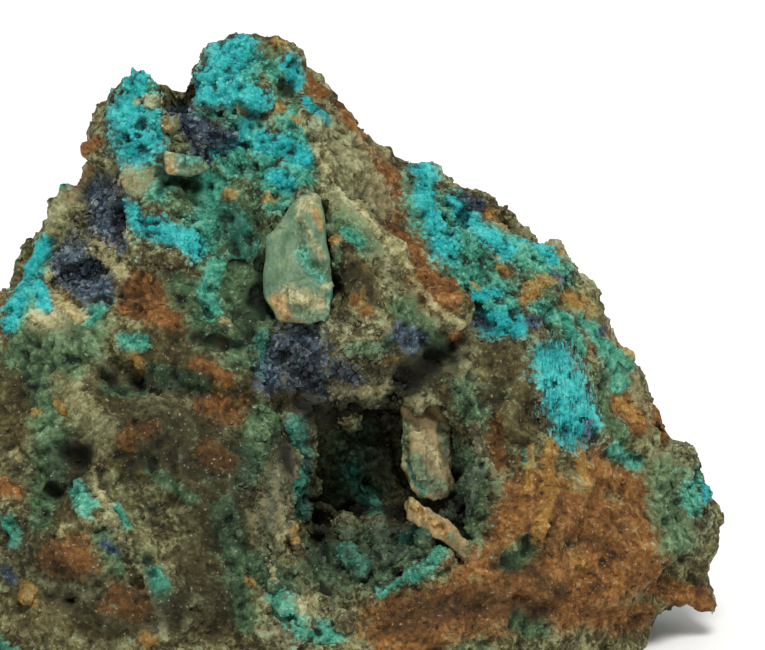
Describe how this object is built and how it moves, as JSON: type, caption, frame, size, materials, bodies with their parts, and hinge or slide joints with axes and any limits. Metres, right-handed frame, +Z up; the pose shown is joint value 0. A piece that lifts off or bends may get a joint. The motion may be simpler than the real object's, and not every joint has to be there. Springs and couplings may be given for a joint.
{
  "type": "lavendulan with azurite",
  "caption": "Mineral specimen: a rusty copper-ore lump with turquoise lavendulan crusts, dark blue azurite clusters and a green-lined hollow, standing on a flat foot.",
  "frame": {"origin": "centre of the bounding box, at the flat foot", "axes": "+X to the right across the show face, +Y away from it, +Z up"},
  "size_m": [0.0409, 0.0268, 0.0302],
  "materials": {
    "rock": "rough, rusty",
    "lavendulan": "globular, satin",
    "azurite": "crystalline, glossy",
    "malachite": "druse, satin",
    "pale_crystal": "waxy",
    "cream_crystal": "waxy"
  },
  "bodies": {
    "root": {"rock": "rock", "lavendulan_left_peak": "lavendulan", "lavendulan_summit": "lavendulan", "lavendulan_middle": "lavendulan", "lavendulan_upper_face": "lavendulan", "lavendulan_right_slope": "lavendulan", "lavendulan_right_face": "lavendulan", "lavendulan_left_flank": "lavendulan", "lavendulan_right_lobe": "lavendulan", "azurite_left_hollow": "azurite", "azurite_notch": "azurite", "azurite_overhang": "azurite", "vug_crust": "malachite", "pale_blade": "pale_crystal", "pale_chip": "pale_crystal", "vug_blade": "cream_crystal", "cream_splinter": "cream_crystal"}
  },
  "joints": []
}
